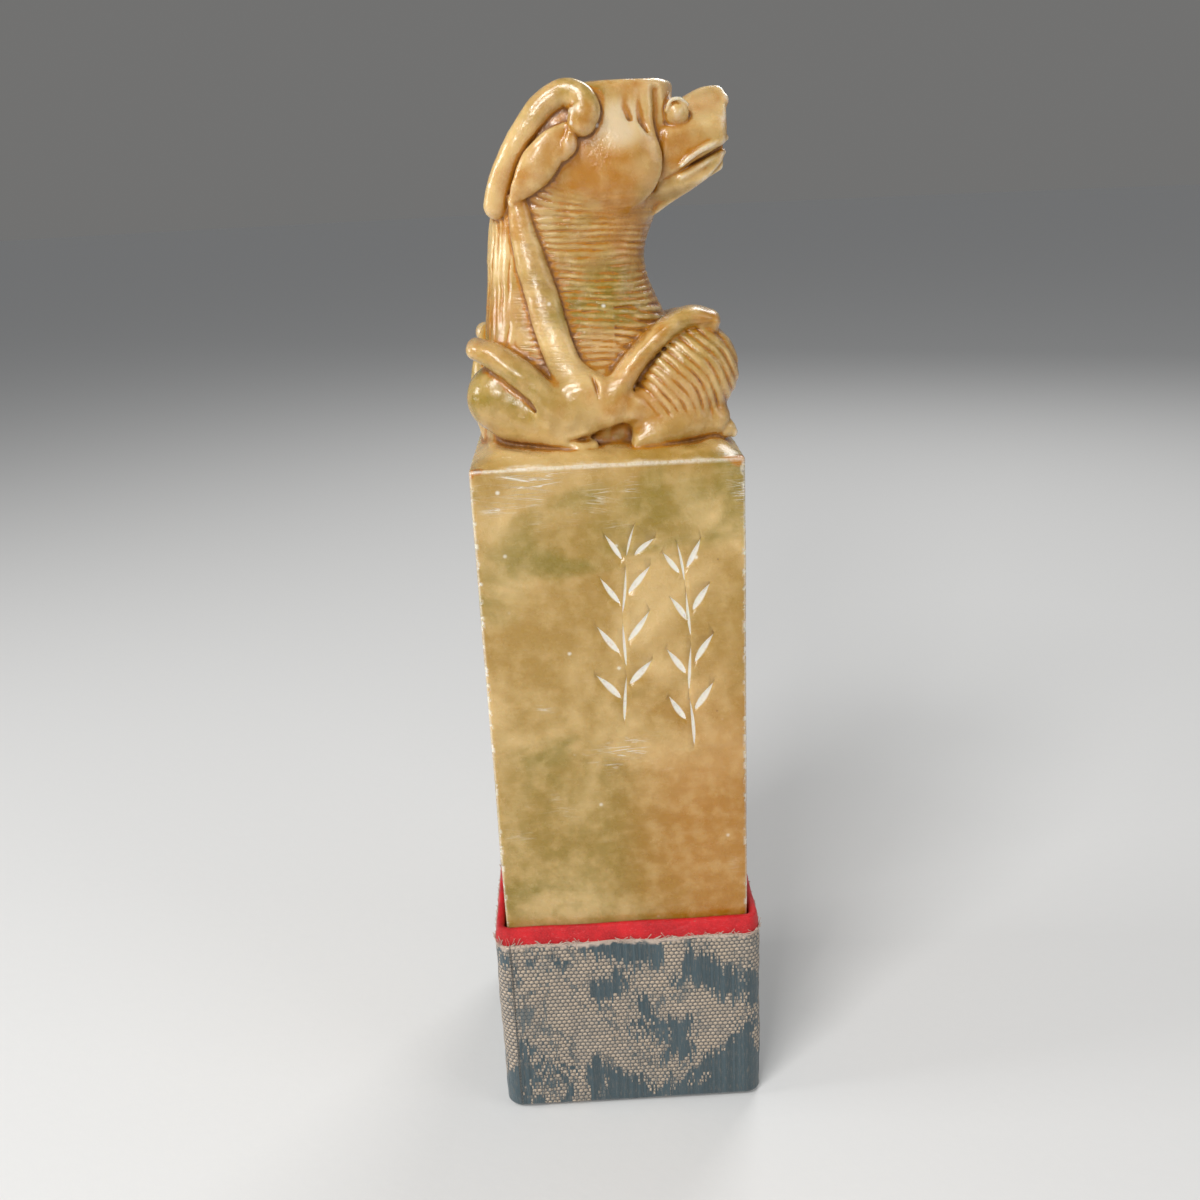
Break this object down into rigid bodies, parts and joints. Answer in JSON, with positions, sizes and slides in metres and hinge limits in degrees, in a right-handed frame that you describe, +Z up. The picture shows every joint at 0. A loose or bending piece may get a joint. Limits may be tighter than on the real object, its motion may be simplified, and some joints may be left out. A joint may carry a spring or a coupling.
{
  "type": "seal stamp",
  "caption": "Square soapstone seal with a crouching horned beast carved on top, standing in the padded socket half of a small cloth-covered case.",
  "frame": {"origin": "centre of the case's foot, on the surface that it stands on", "axes": "+Z up through the seal, -Y out of the column's front, +X the way the beast looks"},
  "size_m": [0.0274, 0.0274, 0.1019],
  "materials": {
    "soapstone": "polished, cloudy tan to amber",
    "cotton_wadding": "matte cotton",
    "red_satin": "satin weave with a soft sheen",
    "card_board": "matte grey board",
    "kraft_paper": "matte",
    "woven_brocade": "coarse woven brocade, beige with blue-grey figures",
    "foot_paper": "matte"
  },
  "bodies": {
    "case": {"pad_wadding": "cotton_wadding", "pad_cover": "red_satin", "floor_board": "card_board", "front_wall_board": "card_board", "rear_wall_board": "card_board", "left_wall_board": "card_board", "right_wall_board": "card_board", "corner_stays": "kraft_paper", "backing_paper": "kraft_paper", "satin_lining": "red_satin", "brocade_wrap": "woven_brocade", "foot_sheet": "foot_paper"},
    "seal": {"seal_stone": "soapstone"}
  },
  "joints": [
    {"name": "seal_lift", "type": "slide", "parent": "case", "child": "seal", "axis": [0, 0, 1], "range_m": [0, 0.035]}
  ]
}
